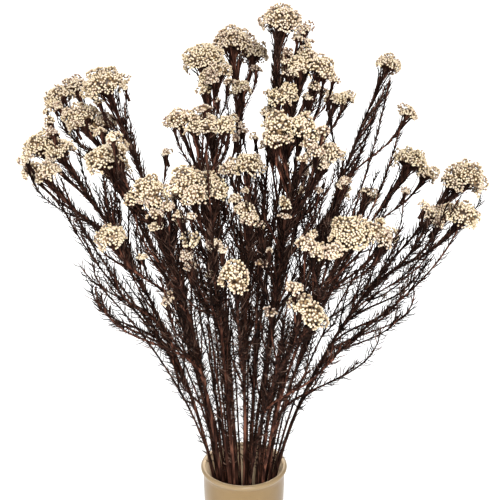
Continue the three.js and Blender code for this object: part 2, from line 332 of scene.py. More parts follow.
# Small tufts of buds (x, y, z, radius) and leafy shoots (x, y, z) among the heads. Each grows from the stem
# that gives it the shortest branch.
TUFTS = [
    (50, 13, 536, 6.6), (43, 12, 529, 6.6), (34, -8, 518, 6.6), (33, -9, 511, 6.6), (11, 76, 501, 6.6),
    (-24, 16, 496, 7.5), (-32, 22, 487, 7.5), (-13, 30, 494, 6.6), (0, 48, 487, 5.7), (0, 26, 454, 5.7),
    (10, 16, 450, 5.7), (-29, -40, 479, 6.6), (56, -84, 469, 5.7), (-61, -83, 410, 6.6),
    (-63, -76, 399, 6.6), (-64, 18, 437, 6.6), (-50, -70, 419, 6.6), (-36, -107, 395, 8.4),
    (-38, -108, 386, 7.5), (-35, -108, 379, 6.6), (-19, -123, 399, 6.6), (-13, -118, 393, 5.7),
    (13, -70, 369, 5.2), (-23, -104, 371, 5.7), (31, -72, 414, 6.6), (31, -70, 405, 5.7),
    (34, -158, 379, 7.5), (42, -144, 404, 8.4), (136, 20, 404, 5.7), (97, -112, 399, 8.4),
    (145, -58, 395, 6.6), (137, -54, 409, 6.6), (-94, 8, 491, 5.7), (-116, 12, 479, 5.7),
    (-170, 56, 467, 5.2), (-153, 0, 464, 6.6), (-149, -13, 458, 6.6), (-161, -50, 443, 7.5),
    (-139, 25, 458, 7.5), (-117, 16, 455, 7.5), (-90, -86, 464, 7.5), (-54, -95, 349, 6.6),
    (-74, -77, 376, 5.7), (20, -122, 348, 5.7), (52, -89, 455, 6.6), (81, -12, 419, 6.6),
    (-44, -72, 401, 6.6), (35, -8, 503, 7.5), (45, -8, 506, 6.6), (63, -8, 500, 6.6), (70, -6, 498, 5.7),
    (18, 0, 472, 6.6), (26, 0, 474, 6.6), (21, 10, 487, 5.7), (-5, -80, 420, 6.6), (72, 40, 480, 6.6),
    (-54, -20, 469, 6.6), (-66, -80, 420, 7.5), (-11, 45, 461, 7.5), (-13, 40, 453, 6.6),
    (-7, 35, 446, 5.7), (-2, 45, 456, 5.7), (-45, -92, 411, 5.7), (-36, -98, 412, 5.7),
    (-52, -92, 416, 6.6), (41, -30, 429, 5.7), (42, -84, 449, 6.6), (47, -50, 434, 5.7),
    (32, -60, 441, 4.8), (42, -50, 419, 5.2), (59, -30, 416, 5.2), (51, -80, 393, 5.2),
    (14, -60, 394, 4.8), (20, -70, 380, 4.8), (2, -45, 419, 5.2), (107, -40, 393, 6.2),
    (101, 10, 406, 6.2), (77, -10, 415, 5.7), (47, 13, 533, 5.7), (51, 10, 527, 5.7), (57, -6, 492, 6.6),
    (52, -4, 484, 6.6), (62, 0, 488, 6.2), (-21, 20, 480, 5.7), (-28, 10, 475, 5.7), (-158, 50, 471, 6.6),
    (-149, 40, 468, 6.6), (-164, 56, 473, 5.7),
]
LEAFY_SHOOTS = [
    (-116, -20, 388), (-109, 10, 389), (-103, 10, 401), (-94, 0, 398), (-118, -40, 361), (-100, -50, 360),
    (-84, -10, 375), (-66, -30, 389), (-55, -20, 388), (-44, -45, 384), (-45, -70, 383), (-35, -50, 396),
    (-45, -60, 367), (-33, 40, 436), (-14, 60, 473), (-3, 70, 465), (-4, 0, 431), (2, -10, 419),
    (9, -40, 418), (15, 10, 423), (14, -60, 414), (4, -60, 409), (23, -10, 419), (12, -30, 397),
    (44, -20, 432), (55, -20, 429), (66, -10, 422), (74, 0, 428), (86, 40, 435), (90, 30, 416),
    (100, 10, 406), (136, -30, 353), (126, -40, 343), (56, -70, 341), (81, 20, 394), (-72, -40, 320),
    (-59, -50, 307), (32, -40, 371), (-8, -40, 391), (-22, -20, 402), (-99, -20, 367), (48, -40, 361),
    (39, -20, 397), (26, 0, 531), (25, -2, 529), (27, -6, 529), (24, -8, 520), (26, -12, 513),
    (-95, 8, 477), (-91, 8, 466), (-89, 8, 455), (-119, -45, 345), (136, -40, 337), (117, 68, 472),
    (113, 66, 461), (109, 64, 449), (104, 60, 437), (99, 56, 425), (93, 52, 414), (-83, -40, 400),
    (-78, -40, 386), (9, 30, 407), (21, 30, 404), (26, 30, 392), (7, 20, 397), (50, 20, 413),
    (55, 25, 403), (51, 20, 392), (55, 10, 387), (45, 10, 381), (44, 20, 401), (-32, 30, 469),
    (-26, 20, 463), (-18, 40, 463), (-29, 20, 454), (-29, 10, 433), (-22, 10, 425), (-62, -50, 408),
    (-56, -50, 402), (-49, -60, 411), (-68, -50, 397), (-59, -50, 393), (-9, -30, 376), (-2, -30, 364),
    (-6, -30, 352), (2, -20, 355), (9, -20, 374), (12, -20, 361), (-56, -30, 264), (-52, -20, 238),
    (61, -30, 264), (123, 70, 489), (118, 68, 477), (128, 70, 493), (-23, 20, 466), (-105, -40, 426),
    (-101, -40, 418), (-105, -30, 408), (-106, -40, 434), (-85, 10, 439), (-82, 10, 429), (-12, -30, 405),
    (-6, -30, 399), (0, -30, 404), (-12, -30, 328), (0, -20, 326), (15, -20, 326), (-6, -40, 320),
    (7, -30, 321), (21, -40, 330),
]

# Leafy shoots (x, y, z) that fork off low and run up the outside of the bunch, and leafy stems that stand in
# the vase by themselves: the place in its mouth (x, y) and the tip (x, y, z).
LONG_SHOOTS = [
    (-152, -10, 417), (-148, 0, 420), (170, -35, 392), (-24, -98, 458), (136, 50, 461), (126, 66, 493),
]
LEAFY_STEMS = [
    (-28, -6, -115, -40, 343), (-25, 10, -67, 20, 281), (-16, -2, -42, 5, 321), (27, -8, 93, -45, 361),
    (16, -15, 35, -60, 337), (-12, -20, -24, -30, 311), (23, -12, 37, -25, 279), (-12, 20, -20, 40, 278),
    (5, 22, 13, 40, 278), (17, 18, 35, 35, 275), (-20, 12, -33, 25, 286),
]


# Vectors and curves


def unit(vectors):
    return vectors / np.linalg.norm(vectors, axis=-1, keepdims=True)


def on_curve(controls, along):
    """Points of a Bezier curve."""
    degree = len(controls) - 1
    along = np.atleast_1d(along)[:, None]
    shares = [math.comb(degree, k) * along**k * (1 - along) ** (degree - k) for k in range(degree + 1)]
    return sum(share * control for share, control in zip(shares, controls))


def way_on_curve(controls, along):
    """The direction of a Bezier curve."""
    return unit(on_curve(np.diff(np.array(controls), axis=0), along))


def along_at_height(controls, z):
    """How far along a rising curve it reaches a height."""
    along = np.linspace(0, 1, 200)
    return float(np.interp(z, on_curve(controls, along)[:, 2], along))


def line_length(points):
    return float(np.linalg.norm(np.diff(points, axis=0), axis=1).sum())


def curve_length(controls):
    return line_length(on_curve(controls, np.linspace(0, 1, 60)))


def dome_axis(dome):
    return unit(np.array([dome[0] * DOME_TILT, dome[1] * DOME_TILT, 1.0]))


def seat_of(dome):
    """The place just under a dome where its stem or branch ends."""
    return np.array(dome[:3], float) - dome_axis(dome) * (DOME_BOTTOM * dome[3] + SEAT_GAP)


def main_curve(mouth, end):
    """A stem that runs from the floor of the vase through its place in the mouth to its end."""
    foot = np.array([mouth[0] * FLOOR_SPREAD, mouth[1] * FLOOR_SPREAD, CUT_END_Z])
    through = np.array([mouth[0], mouth[1], MOUTH_Z], float)
    below = np.linalg.norm(through - foot)
    t = below / (below + np.linalg.norm(end - through))
    control = (through - (1 - t) ** 2 * foot - t**2 * end) / (2 * t * (1 - t))
    return [foot, control, end]


def branch_curve(parent, end, end_way, fork_z=None):
    """A branch that leaves its parent along it and bends up into the place it ends in. Where no height is
    given for the fork, it follows from how far the branch reaches out."""
    if fork_z is None:
        beside = on_curve(parent, along_at_height(parent, end[2]))[0]
        drop = FORK_DROP_SHARE * np.linalg.norm(beside - end)
        fork_z = max(LOWEST_FORK_Z, end[2] - FORK_DROP - drop)
    along = along_at_height(parent, fork_z)
    start = on_curve(parent, along)[0]
    reach = BRANCH_REACH * np.linalg.norm(end - start)
    return [start, start + way_on_curve(parent, along)[0] * reach, end - end_way * reach, end]


def rod_of(curve, radii, dome=None):
    """Round wood along a curve, with its radii at foot and tip and the dome that it may carry."""
    return {"curve": curve, "radii": radii, "dome": dome}


def rods_of(stem):
    """One stem as the list of its rods: the main stem, its branches and its shoots."""
    top_dome = stem["heads"][0][0]
    trunk = main_curve(stem["mouth"], seat_of(top_dome))
    rods = [rod_of(trunk, STEM_RADII, top_dome)]
    for head in stem["heads"]:
        carrier = trunk
        for dome in head:
            if dome is top_dome:
                continue
            curve = branch_curve(carrier, seat_of(dome), dome_axis(dome))
            if dome is head[0]:
                carrier = curve
            rods.append(rod_of(curve, BRANCH_RADII, dome))
    for shoot in stem["shoots"]:
        rods.append(rod_of(branch_curve(trunk, np.array(shoot, float), UP), SHOOT_RADII))
    return rods


def long_curve(parent, end):
    """A branch that forks off low and runs up beside its parent."""
    start = on_curve(parent, along_at_height(parent, LOWEST_FORK_Z))[0]
    return branch_curve(parent, end, unit(unit(end - start) + 0.8 * UP), LOWEST_FORK_Z)


def add_to_nearest(rods_of_stems, curves, radii, dome=None):
    """Gives a new rod to the stem from which its curve is the shortest."""
    nearest = int(np.argmin([curve_length(curve) for curve in curves]))
    rods_of_stems[nearest].append(rod_of(curves[nearest], radii, dome))


def add_leafy_stem(rods_of_stems, mouth, end):
    """Stands a leafy stem without flowers in the vase, beside the stem that is nearest to it there."""
    nearest = int(np.argmin([math.dist(mouth, stem["mouth"]) for stem in STEMS]))
    rods_of_stems[nearest].append(rod_of(main_curve(mouth, end), SIDE_STEM_RADII))


def side_curve(parent, along, side, lean, length):
    """A side twig that leaves its parent at a small angle and then runs up beside it."""
    start = on_curve(parent, along)[0]
    way = way_on_curve(parent, along)[0]
    first = start + (way * math.cos(2 * lean) + side * math.sin(2 * lean)) * length * 0.3
    second = first + unit(way * math.cos(lean) + side * math.sin(lean) + UP * 0.25) * length * 0.35
    end = second + unit(way + UP * 0.6) * length * 0.35
    return [start, first, second, end]


def is_near_head(point, margin):
    return any(is_in_dome(point[None], dome, margin)[0] for dome in ALL_DOMES)


def twigs_of(rods):
    """Leafy side twigs up the stem, its branches and its shoots. None of them ends in a head."""
    twigs = []
    for rod in rods:
        count = int(curve_length(rod["curve"]) / TWIG_STEP)
        turn = rng.uniform(0, math.tau)
        for k in range(count):
            along = (k + rng.uniform(0.2, 0.8)) / count
            height = on_curve(rod["curve"], along)[0, 2]
            if not LOWEST_TWIG_Z < height < HIGHEST_TWIG_Z or along > LAST_TWIG:
                continue
            side = sides_of(way_on_curve(rod["curve"], along), np.array([turn + k * GOLDEN_TURN]))[0]
            length = rng.uniform(*TWIG_LENGTH) * (1 - TWIG_TAPER * along) * (1 if rod["dome"] else 0.5)
            curve = side_curve(rod["curve"], along, side, TWIG_LEAN * rng.uniform(0.5, 1.4), length)
            too_far = curve[-1][2] > HIGHEST_TWIG_TIP_Z or curve[-1][1] < FOREMOST_TIP_Y
            if not too_far and not is_near_head(curve[-1], TWIG_CLEARANCE):
                twigs.append(rod_of(curve, TWIG_RADII))
    return twigs


def side_stem_of(stem, trunk):
    """A leafy stem without flowers beside the main one, which stands in the vase or forks off above it."""
    for _ in range(SIDE_STEM_TRIES):
        turn = rng.uniform(0, math.tau)
        shift = SIDE_STEM_SPREAD * np.array([math.cos(turn), math.sin(turn)])
        mouth = np.array(stem["mouth"]) + rng.uniform(0.25, 0.6) * shift
        if np.linalg.norm(mouth) > SIDE_STEM_MOUTH_RADIUS:
            continue
        top = rng.uniform(*SIDE_STEM_TOP_Z)
        beside = on_curve(trunk, along_at_height(trunk, top))[0]
        end = np.array([*(beside[:2] * rng.uniform(0.8, 1.0) + 1.3 * shift), top])
        if end[1] < FOREMOST_TIP_Y or is_near_head(end, SIDE_STEM_CLEARANCE):
            continue
        if rng.uniform(0, 1) < OWN_FOOT_SHARE:
            return rod_of(main_curve(mouth, end), SIDE_STEM_RADII)
        return rod_of(branch_curve(trunk, end, UP), BRANCH_RADII)
    return None


# Meshes


class Heap:
    """The closed forms of one piece. A form has a tone of its own, and each point has a rise, which goes
    from 0 at the root of its form to 1 at the tip. The bake map has a cell for each tone, where a form is
    laid out by the turn round it and the rise. So forms of one tone share their place there, and look alike.
    A darkness over 1 lowers all tones of the piece, and one under 1 raises them."""

    def __init__(self, darkness=1.0):
        self.darkness = darkness
        self.points = []
        self.tones = []
        self.rises = []
        self.quads = []
        self.triangles = []
        self.quad_maps = []
        self.triangle_maps = []
        self.count = 0

    def add(self, points, sides, levels, tones):
        """Adds forms given as arrays (form, point, 3). A form has rings of points from root to tip, and then
        the poles of its two ends. The levels are the rises of the root, of each ring and of the tip."""
        count, each = points.shape[:2]
        rings = len(levels) - 2
        column = np.arange(sides)
        beside = (column + 1) % sides
        low = np.arange(rings - 1)[:, None] * sides
        high = low + sides
        top = (rings - 1) * sides
        quads = np.stack([low + column, low + beside, high + beside, high + column], axis=-1).reshape(-1, 4)
        root_fan = np.stack([beside, column, np.full(sides, each - 2)], axis=-1)
        tip_fan = np.stack([top + column, top + beside, np.full(sides, each - 1)], axis=-1)
        starts = self.count + np.arange(count)[:, None, None] * each
        self.quads.append((quads + starts).reshape(-1, 4))
        self.triangles.append((np.concatenate([root_fan, tip_fan]) + starts).reshape(-1, 3))
        cells = np.clip((tones**self.darkness * MAP_CELLS**2).astype(int), 0, MAP_CELLS**2 - 1)
        self.add_maps(cells, sides, levels)
        point_rises = np.concatenate([np.repeat(levels[1:-1], sides), levels[:1], levels[-1:]])
        self.points.append(points.reshape(-1, 3))
        self.tones.append(np.repeat((cells + 0.5) / MAP_CELLS**2, each))
        self.rises.append(np.tile(point_rises, count))
        self.count += count * each

    def add_maps(self, cells, sides, levels):
        """Lays the faces of forms out in their cells of the bake map."""
        rings = len(levels) - 2
        column = np.arange(sides)
        quad_turns = np.tile(np.stack([column, column + 1, column + 1, column], axis=-1), (rings - 1, 1))
        quad_rises = np.stack([levels[1:-2], levels[1:-2], levels[2:-1], levels[2:-1]], axis=-1)
        fan_turns = [[column + 1, column, column + 0.5], [column, column + 1, column + 0.5]]
        fan_turns = np.array(fan_turns).transpose(0, 2, 1).reshape(-1, 3)
        fan_rises = np.array([[levels[1], levels[1], levels[0]], [levels[-2], levels[-2], levels[-1]]])
        corners = np.stack([cells % MAP_CELLS, cells // MAP_CELLS], axis=-1)[:, None, None, :]
        for maps, turns, rises in (
            (self.quad_maps, quad_turns, np.repeat(quad_rises, sides, axis=0)),
            (self.triangle_maps, fan_turns, np.repeat(fan_rises, sides, axis=0)),
        ):
            spots = np.stack([turns / sides, rises], axis=-1)
            maps.append(((corners + CELL_EDGE + (1 - 2 * CELL_EDGE) * spots) / MAP_CELLS).reshape(-1, 2))

    def add_tubes(self, lines, radii, sides, tones=None):
        """Adds a round form round each line. The line's two ends are its poles."""
        count, steps = lines.shape[:2]
        ways = unit(np.gradient(lines, axis=1)[:, 1:-1])
        overall = unit(lines[:, -1] - lines[:, 0])
        least = np.eye(3)[np.argmin(np.abs(overall), axis=1)]
        across = np.cross(overall, least)[:, None, :]
        across = unit(across - ways * (across * ways).sum(-1, keepdims=True))
        over = np.cross(ways, across)
        angles = rng.uniform(0, math.tau, count)[:, None] + np.arange(sides) * math.tau / sides
        cosines = np.cos(angles)[:, None, :, None]
        sines = np.sin(angles)[:, None, :, None]
        rings = cosines * across[:, :, None] + sines * over[:, :, None]
        rings = lines[:, 1:-1, None] + rings * radii[:, :, None, None]
        points = np.concatenate([rings.reshape(count, -1, 3), lines[:, :1], lines[:, -1:]], axis=1)
        if tones is None:
            tones = rng.uniform(0, 1, count)
        self.add(points, sides, np.linspace(0, 1, steps), tones)

    def add_turned(self, profile, shares, levels, tone, place=lambda points: points):
        """Adds a form turned round +Z: rings of (radius, height), each with a share of its radius at each of
        its corners. Then place moves its points to where they belong."""
        sides = shares.shape[1]
        angles = np.arange(sides) * math.tau / sides
        radii = profile[:, :1] * shares
        heights = np.repeat(profile[:, 1:], sides, axis=1)
        rings = np.stack([radii * np.cos(angles), radii * np.sin(angles), heights], axis=-1).reshape(-1, 3)
        poles = np.array([[0, 0, profile[0, 1]], [0, 0, profile[-1, 1]]])
        self.add(place(np.concatenate([rings, poles]))[None], sides, levels, np.array([tone]))


def piece_from(name, heap, material, node=None, mapped=True):
    """Makes the mesh object of a heap, which rides on the only body and may stand for a CAD node."""
    faces = np.concatenate(heap.quads).tolist() + np.concatenate(heap.triangles).tolist()
    mesh = bpy.data.meshes.new(name)
    mesh.from_pydata((np.concatenate(heap.points) * MM).tolist(), [], faces)
    mesh.polygons.foreach_set("use_smooth", np.ones(len(mesh.polygons), bool))
    for label, values in (("tone", heap.tones), ("rise", heap.rises)):
        layer = mesh.attributes.new(label, "FLOAT", "POINT")
        layer.data.foreach_set("value", np.concatenate(values).astype(np.float32))
    if mapped:
        spots = np.concatenate(heap.quad_maps + heap.triangle_maps)
        mesh.uv_layers.new(name="OFBake").uv.foreach_set("vector", spots.astype(np.float32).ravel())
    mesh.materials.append(material)
    piece = bpy.data.objects.new(name, mesh)
    bpy.context.scene.collection.objects.link(piece)
    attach(piece, "root")
    if node:
        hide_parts(node)


# Materials


class Nodes:
    """Short calls that add nodes to a material's tree."""

    def __init__(self, name):
        self.material = bpy.data.materials.new(name)
        self.material.use_nodes = True
        self.tree = self.material.node_tree
        self.shader = self.tree.nodes["Principled BSDF"]

    def node(self, kind, **inputs):
        made = self.tree.nodes.new(kind)
        for name, value in inputs.items():
            self.put(made.inputs[name.replace("_", " ")], value)
        return made

    def put(self, socket, value):
        if isinstance(value, bpy.types.NodeSocket):
            self.tree.links.new(value, socket)
        else:
            socket.default_value = value

    def attribute(self, name):
        made = self.tree.nodes.new("ShaderNodeAttribute")
        made.attribute_name = name
        return made.outputs["Fac"]

    def object_place(self, stretch=(1, 1, 1)):
        place = self.tree.nodes.new("ShaderNodeTexCoord").outputs["Object"]
        mapping = self.node("ShaderNodeMapping", Vector=place)
        mapping.inputs["Scale"].default_value = stretch
        return mapping.outputs["Vector"]

    def noise(self, scale, detail=2.0, stretch=(1, 1, 1)):
        made = self.node("ShaderNodeTexNoise", Vector=self.object_place(stretch), Scale=scale, Detail=detail)
        return made.outputs["Fac"]

    def ramp(self, value, stops):
        made = self.node("ShaderNodeValToRGB", Fac=value)
        elements = made.color_ramp.elements
        while len(elements) < len(stops):
            elements.new(0.5)
        for element, (place, colour) in zip(elements, stops):
            element.position = place
            element.color = (*colour, 1)
        return made.outputs["Color"]

    def mix(self, share, first, second, way="MIX"):
        made = self.tree.nodes.new("ShaderNodeMix")
        made.data_type = "RGBA"
        made.blend_type = way
        self.put(made.inputs[0], share)
        self.put(made.inputs[6], first)
        self.put(made.inputs[7], second)
        return made.outputs[2]

    def calculate(self, operation, first, second):
        made = self.tree.nodes.new("ShaderNodeMath")
        made.operation = operation
        self.put(made.inputs[0], first)
        self.put(made.inputs[1], second)
        return made.outputs[0]

    def bump(self, height, strength, distance):
        made = self.node("ShaderNodeBump", Height=height, Strength=strength, Distance=distance)
        self.put(self.shader.inputs["Normal"], made.outputs["Normal"])

    def finish(self, colour, roughness, specular=0.5):
        self.put(self.shader.inputs["Base Color"], colour)
        self.put(self.shader.inputs["Roughness"], roughness)
        self.put(self.shader.inputs["Specular IOR Level"], specular)
        return self.material


def bud_material():
    """Papery buds, cream at the tip and browner at the root, here and there tan or pinkish, over beds of
    packed buds. The cream tip is partly a painted highlight, the dark root is partly painted shade, and the
    beds are painted shade.
    """
    nodes = Nodes("cream_bud")
    own = nodes.ramp(
        nodes.attribute("tone"),
        [
            (0.0, (0.60, 0.48, 0.26)),
            (0.35, (0.55, 0.41, 0.23)),
            (0.6, (0.49, 0.35, 0.22)),
            (0.85, (0.40, 0.26, 0.18)),
            (1.0, (0.25, 0.145, 0.10)),
        ],
    )
    # Painted highlight: the tips are mixed towards a near-white cream, partly the buds' own cream and partly
    # a painted highlight.
    tip = nodes.mix(0.56, own, (0.94, 0.89, 0.73, 1))
    uneven = nodes.calculate("MULTIPLY", nodes.noise(900.0), 0.16)
    rise = nodes.calculate("ADD", nodes.attribute("rise"), uneven)
    tipped = nodes.mix(nodes.ramp(rise, [(0.65, BLACK), (0.95, WHITE)]), own, tip)
    # Painted shade: the roots darken to a deep brown, partly the buds' own brown base and partly painted
    # shade in the gaps between buds.
    root_brown_and_shade = nodes.mix(
        nodes.ramp(rise, [(0.2, WHITE), (0.78, BLACK)]), tipped, (0.135, 0.085, 0.052, 1)
    )
    # Painted shade: packed buds with near-black cracks between the cells, dark all over as the shade inside
    # a head.
    cells = nodes.node("ShaderNodeTexVoronoi", Vector=nodes.object_place(), Scale=430.0).outputs["Distance"]
    packed = nodes.ramp(
        cells, [(0.12, (0.46, 0.33, 0.18)), (0.38, (0.22, 0.135, 0.065)), (0.6, (0.035, 0.019, 0.009))]
    )
    # This mask puts the painted shade on the beds and on the very roots of the buds.
    bed = nodes.ramp(nodes.attribute("rise"), [(0.04, WHITE), (0.2, BLACK)])
    return nodes.finish(nodes.mix(bed, root_brown_and_shade, packed), 0.5, 0.35)


def wood_material():
    """Dark brown bark with lighter and redder streaks along the stem."""
    nodes = Nodes("dried_wood")
    streaks = nodes.noise(420.0, 4.0, (1, 1, 0.12))
    bark = nodes.ramp(
        streaks,
        [(0.32, (0.006, 0.0025, 0.002)), (0.5, (0.03, 0.013, 0.009)), (0.7, (0.12, 0.053, 0.035))],
    )
    own = nodes.ramp(
        nodes.attribute("tone"),
        [(0.0, (0.25, 0.24, 0.24)), (0.5, (0.75, 0.73, 0.73)), (1.0, (1.8, 1.65, 1.6))],
    )
    nodes.bump(nodes.noise(900.0, 3.0, (1, 1, 0.2)), 0.5, 0.0004)
    return nodes.finish(nodes.mix(1.0, bark, own, "MULTIPLY"), 0.75, 0.03)


def needle_material():
    """Dry needle leaves, nearly black to reddish brown, a little lighter at the tip."""
    nodes = Nodes("dried_needle")
    own = nodes.ramp(
        nodes.attribute("tone"),
        [
            (0.0, (0.002, 0.0011, 0.001)),
            (0.5, (0.009, 0.0042, 0.003)),
            (0.8, (0.04, 0.02, 0.014)),
            (1.0, (0.19, 0.115, 0.085)),
        ],
    )
    tipped = nodes.mix(
        nodes.ramp(nodes.attribute("rise"), [(0.5, BLACK), (1.0, (0.35, 0.35, 0.35))]),
        own,
        (0.09, 0.046, 0.031, 1),
    )
    streaks = nodes.calculate("MULTIPLY", nodes.noise(1200.0), 0.4)
    streaked = nodes.mix(streaks, tipped, (0.008, 0.004, 0.003, 1))
    return nodes.finish(streaked, 0.65, 0.03)


def glaze_material():
    """A smooth taupe glaze that is a little mottled. The lip is lighter, partly as glaze running thin over
    it and partly as a painted highlight on its upturned roll. Inside it is lightest, as painted light that
    stands for light shining into the bore and through the wall."""
    nodes = Nodes("beige_glaze")
    clouds = nodes.noise(28.0, 3.0)
    body = nodes.ramp(
        clouds,
        [(0.3, (0.181, 0.116, 0.052)), (0.55, (0.212, 0.140, 0.063)), (0.75, (0.245, 0.168, 0.081))],
    )
    specks = nodes.ramp(nodes.noise(700.0, 2.0), [(0.66, BLACK), (0.74, (0.5, 0.5, 0.5))])
    specked = nodes.mix(specks, body, (0.14, 0.085, 0.038, 1))
    height = nodes.tree.nodes.new("ShaderNodeSeparateXYZ")
    nodes.put(height.inputs[0], nodes.object_place())
    # Painted highlight: the lip roll near the top is mixed towards a lighter tan, partly glaze running thin
    # and partly a painted highlight.
    lip = nodes.ramp(
        nodes.calculate("MULTIPLY", height.outputs["Z"], 1 / (VASE_HEIGHT * MM)),
        [(0.968, BLACK), (0.976, (0.8, 0.8, 0.8))],
    )
    nodes.bump(nodes.noise(60.0), 0.08, 0.001)
    nodes.put(nodes.shader.inputs["Coat Weight"], 0.08)
    nodes.put(nodes.shader.inputs["Coat Roughness"], 0.08)
    thinned_and_highlit_lip = nodes.mix(lip, specked, (0.28, 0.20, 0.11, 1))
    # Painted light: where the rise is 1, inside the bore, the glaze is a light cream that stands for light
    # shining in and through the wall.
    return nodes.finish(nodes.mix(nodes.attribute("rise"), thinned_and_highlit_lip, (0.95, 0.72, 0.47, 1)), 0.3, 0.2)


def paper_material():
    """The white studio paper under and behind the bunch."""
    nodes = Nodes("studio_paper")
    tint = nodes.ramp(nodes.noise(3.0), [(0.0, (0.90, 0.90, 0.90)), (1.0, (0.93, 0.93, 0.93))])
    return nodes.finish(tint, 0.9)


# Vase


def smoothed(profile):
    """A profile with each of its corners cut off."""
    points = np.array(profile, float)
    near = points[:-1] * 0.75 + points[1:] * 0.25
    far = points[:-1] * 0.25 + points[1:] * 0.75
    cut = np.stack([near, far], axis=1).reshape(-1, 2)
    return np.concatenate([points[:1], cut, points[-1:]])


def make_vase(material):
    """Turns the wall, the rolled lip and the bore as one form, whose rise is 0 outside and 1 inside."""
    lip_centre = LIP_OUTER_RADIUS - LIP_ROLL
    lip_z = VASE_HEIGHT - LIP_ROLL
    outside = [
        (0.5, 1.2),
        (FOOT_RADIUS - 6, 1.2),
        (FOOT_RADIUS - 5, 0),
        (FOOT_RADIUS - FOOT_EDGE, 0),
        (FOOT_RADIUS, FOOT_EDGE),
        (FOOT_RADIUS + 0.3, 12),
        (WAIST_RADIUS + 0.4, VASE_HEIGHT * 0.45),
        (NECK_RADIUS - 0.4, VASE_HEIGHT * 0.72),
        (NECK_RADIUS + 0.5, VASE_HEIGHT * 0.88),
        (NECK_RADIUS + 0.4, lip_z - LIP_ROLL - 2),
    ]
    turns = np.linspace(-0.35 * math.pi, 1.25 * math.pi, 9)
    lip = [(lip_centre + LIP_ROLL * math.cos(turn), lip_z + LIP_ROLL * math.sin(turn)) for turn in turns]
    inside = [
        (BORE_NECK_RADIUS, lip_z - LIP_ROLL - 3),
        (BORE_FLOOR_RADIUS, FLOOR_THICKNESS + 6),
        (BORE_FLOOR_RADIUS - 6, FLOOR_THICKNESS),
        (0.5, FLOOR_THICKNESS),
    ]
    profile = smoothed(outside + lip + inside)
    angles = np.arange(VASE_SIDES) * math.tau / VASE_SIDES
    shares = 1 + 0.003 * np.cos(2 * angles[None] + profile[:, 1:] * 0.02)
    crest = int(np.argmax(profile[:, 1]))
    # The rise of 1 inside is where the glaze paints the bore with light.
    levels = np.clip((np.arange(len(profile) + 2) - crest) / 4, 0, 1)
    heap = Heap()
    heap.add_turned(profile, shares, levels, 0)
    piece_from("glazed_vase", heap, material, "vase", mapped=False)


# Stems and needles


def wobbly(points, size):
    """A line that strays a little from its way, but not at its ends."""
    along = np.linspace(0, 1, len(points))
    held = np.sin(math.pi * along)[:, None]
    waves = sum(
        np.sin(along[:, None] * turns + rng.uniform(0, math.tau, 3)) * rng.normal(0, 1, 3) / turns
        for turns in (5.0, 11.0, 19.0)
    )
    return points + waves * held * size * 4


def add_rod(heap, rod, wobble):
    """Adds the wood of a rod and keeps its line, so that its needles grow from it."""
    length = curve_length(rod["curve"])
    steps = max(5, int(length / 10))
    along = np.linspace(0, 1, steps)
    line = wobbly(on_curve(rod["curve"], along), wobble)
    rod["line"] = line
    foot, tip = rod["radii"]
    radii = (foot + (tip - foot) * along) * rng.uniform(0.88, 1.14, steps)
    poles = np.concatenate([line[:1], line, line[-1:]])
    tone = rng.uniform(0.3, 1, 1) if foot > 1 else rng.uniform(0, 1, 1) ** 1.5
    heap.add_tubes(poles[None], radii[None], 8 if foot > 1.5 else 5, tone)


def places_on_line(line, along):
    """Points and directions of a line that is given by points."""
    steps = np.linspace(0, 1, len(line))
    places = np.stack([np.interp(along, steps, line[:, k]) for k in range(3)], axis=-1)
    ways = np.gradient(line, axis=0)
    ways = unit(np.stack([np.interp(along, steps, ways[:, k]) for k in range(3)], axis=-1))
    return places, ways


def sides_of(ways, angles):
    """A sideways direction for each way, turned round it by an angle."""
    across = unit(np.cross(np.array([0.0, 1.0, 0.0]), ways))
    over = np.cross(ways, across)
    return across * np.cos(angles)[:, None] + over * np.sin(angles)[:, None]


def add_needles(heap, line, radii, share=1.0, last=0.985):
    """Adds curved, pointed needle leaves up a line of wood with these radii at its foot and tip, as far as
    the last share of it. Their number, length and lean follow the height."""
    most = int(line_length(line) * max(NEEDLES_PER_MM) * share)
    if most < 1:
        return
    along = (np.arange(most) + rng.uniform(0.2, 0.8, most)) / most
    places, ways = places_on_line(line, along)
    density = np.interp(places[:, 2], NEEDLE_HEIGHTS, NEEDLES_PER_MM)
    grown = rng.uniform(0, max(NEEDLES_PER_MM), most) < density
    grown &= (places[:, 2] > NEEDLE_HEIGHTS[0]) & (along < last)
    along, places, ways = along[grown], places[grown], ways[grown]
    count = len(along)
    if count < 1:
        return
    heights = places[:, 2]
    sides = sides_of(ways, np.flatnonzero(grown) * GOLDEN_TURN + rng.normal(0, 0.5, count))
    size = np.interp(heights, NEEDLE_HEIGHTS, NEEDLE_LENGTHS) * rng.uniform(0.75, 1.15, count)
    low = np.interp(heights, NEEDLE_HEIGHTS, NEEDLE_ROOT_LEANS) * rng.uniform(0.6, 1.3, count)
    high = np.interp(heights, NEEDLE_HEIGHTS, NEEDLE_TIP_LEANS) * rng.uniform(-0.2, 2.0, count)
    outset = radii[0] + (radii[1] - radii[0]) * along
    root = places + sides * outset[:, None] * 0.6
    first = ways * np.cos(low)[:, None] + sides * np.sin(low)[:, None]
    second = ways * np.cos(high)[:, None] + sides * np.sin(high)[:, None]
    middle = root + first * size[:, None] * NEEDLE_PARTS[0]
    second += NEEDLE_UPTURN * UP + rng.normal(0, 0.1, (count, 3))
    tip = middle + unit(second) * size[:, None] * NEEDLE_PARTS[1]
    t = np.array([0, 0.08, 0.5, 1])[None, :, None]
    lines = root[:, None] * (1 - t) ** 2 + middle[:, None] * 2 * t * (1 - t) + tip[:, None] * t**2
    widths = NEEDLE_RADIUS * rng.uniform(0.7, 1.05, count)[:, None] * np.ones(2)
    heap.add_tubes(lines, widths, 3)


# Flower heads


